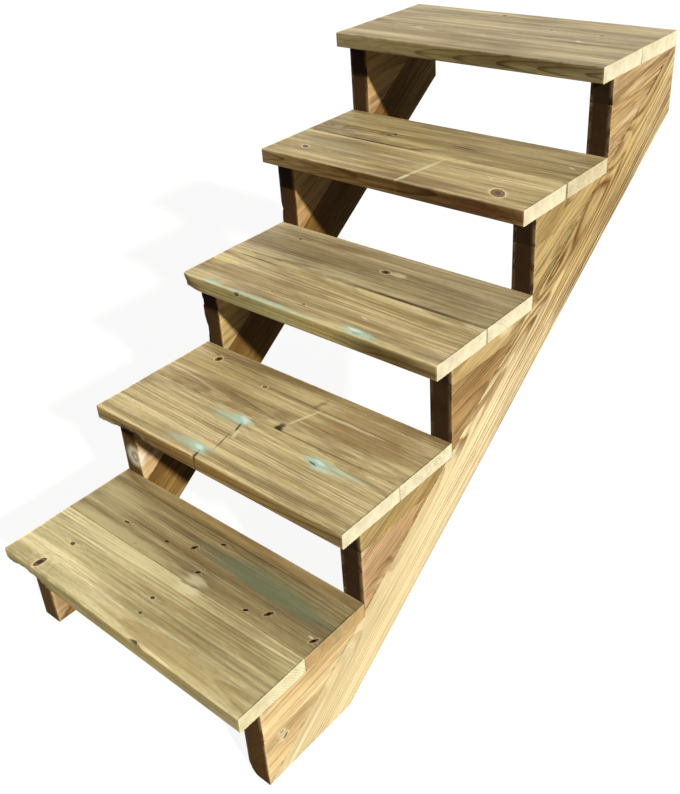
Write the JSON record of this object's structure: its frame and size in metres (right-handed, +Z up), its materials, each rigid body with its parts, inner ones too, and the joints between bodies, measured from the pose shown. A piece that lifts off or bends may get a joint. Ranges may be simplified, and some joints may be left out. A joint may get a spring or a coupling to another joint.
{
  "type": "open deck stairs",
  "caption": "Straight flight of open timber deck stairs: paired-board treads on saw-tooth stringers built from sloping boards and glued step blocks.",
  "frame": {"origin": "middle of the top tread's rear face, half way up its thickness, flush with the plumb cuts that meet the deck", "axes": "+Z up, +Y level and back towards the deck, +X to the right for a person climbing the flight"},
  "size_m": [0.61, 1.291, 0.895],
  "materials": {
    "tread_timber": "planed treated softwood, dry and unfinished, with knots",
    "sloping_board_timber": "planed treated softwood, pale, grain along the slope",
    "block_timber": "planed treated softwood with dark sawn end grain on the riser faces"
  },
  "bodies": {
    "root": {"tread_1_front": "tread_timber", "tread_1_rear": "tread_timber", "tread_2_front": "tread_timber", "tread_2_rear": "tread_timber", "tread_3_front": "tread_timber", "tread_3_rear": "tread_timber", "tread_4_front": "tread_timber", "tread_4_rear": "tread_timber", "tread_5_front": "tread_timber", "tread_5_rear": "tread_timber", "left_sloping_board": "sloping_board_timber", "right_sloping_board": "sloping_board_timber", "left_block_1_upper": "block_timber", "left_block_1_lower": "block_timber", "left_block_2_upper": "block_timber", "left_block_2_lower": "block_timber", "left_block_3_upper": "block_timber", "left_block_3_lower": "block_timber", "left_block_4_upper": "block_timber", "left_block_4_lower": "block_timber", "left_block_5_upper": "block_timber", "left_block_5_lower": "block_timber", "right_block_1_upper": "block_timber", "right_block_1_lower": "block_timber", "right_block_2_upper": "block_timber", "right_block_2_lower": "block_timber", "right_block_3_upper": "block_timber", "right_block_3_lower": "block_timber", "right_block_4_upper": "block_timber", "right_block_4_lower": "block_timber", "right_block_5_upper": "block_timber", "right_block_5_lower": "block_timber"}
  },
  "joints": []
}
